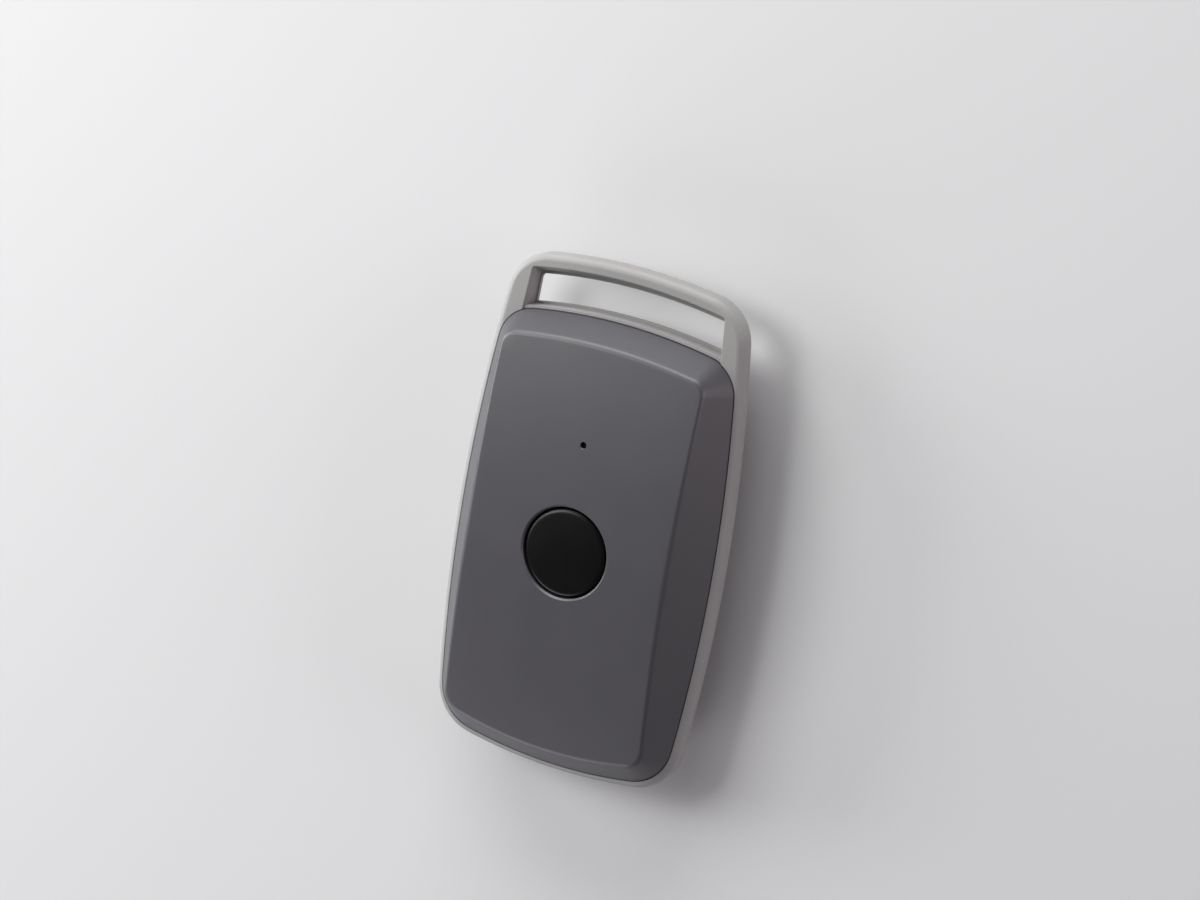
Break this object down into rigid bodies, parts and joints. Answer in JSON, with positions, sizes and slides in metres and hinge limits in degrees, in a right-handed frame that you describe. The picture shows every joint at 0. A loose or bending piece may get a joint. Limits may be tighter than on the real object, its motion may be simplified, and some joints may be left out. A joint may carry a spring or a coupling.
{
  "type": "wireless panic button",
  "caption": "Palm-sized wireless panic button: bevelled two-shell case in a light rim with a lanyard slot, and a round button nearly flush with the front.",
  "frame": {"origin": "middle of the flat back's plane, centred on the whole object's outline", "axes": "+Z out of the front face with the button, +Y along the length towards the lanyard slot, +X to the right seen from the front"},
  "size_m": [0.0452, 0.08, 0.016],
  "materials": {
    "cover_plastic": "satin",
    "rim_plastic": "satin",
    "button_plastic": "satin",
    "seal_rubber": "matt",
    "clear_plastic": "polished",
    "lamp_plastic": "polished",
    "board_laminate": "satin",
    "black_moulding": "matt",
    "spring_steel": "bright",
    "screw_steel": "zinc plated",
    "cell_can": "bright",
    "ferrite": "matt",
    "foam": "matt",
    "ceramic": "matt"
  },
  "bodies": {
    "housing": {"front_cover": "cover_plastic", "rim_frame": "rim_plastic", "rear_cover": "cover_plastic", "front_gasket": "seal_rubber", "rear_gasket": "seal_rubber", "light_guide": "clear_plastic", "status_led": "lamp_plastic", "switch_housing": "black_moulding", "switch_plate": "spring_steel", "circuit_board": "board_laminate", "coin_cell": "cell_can", "battery_holder": "black_moulding", "battery_clip": "spring_steel", "battery_contact": "spring_steel", "battery_pad": "foam", "case_screws": "screw_steel", "radio_shield": "spring_steel", "radio_chip": "black_moulding", "microcontroller": "black_moulding", "crystal": "spring_steel", "antenna": "spring_steel", "drum_coil": "ferrite", "chip_capacitors": "ceramic", "chip_resistors": "black_moulding"},
    "push_button": {"alarm_button": "button_plastic", "button_seal": "seal_rubber", "switch_plunger": "black_moulding"}
  },
  "joints": [
    {"name": "button_press", "type": "slide", "parent": "housing", "child": "push_button", "axis": [0, 0, -1], "range_m": [0, 0.0004], "stiffness_N_per_m": 5000}
  ]
}
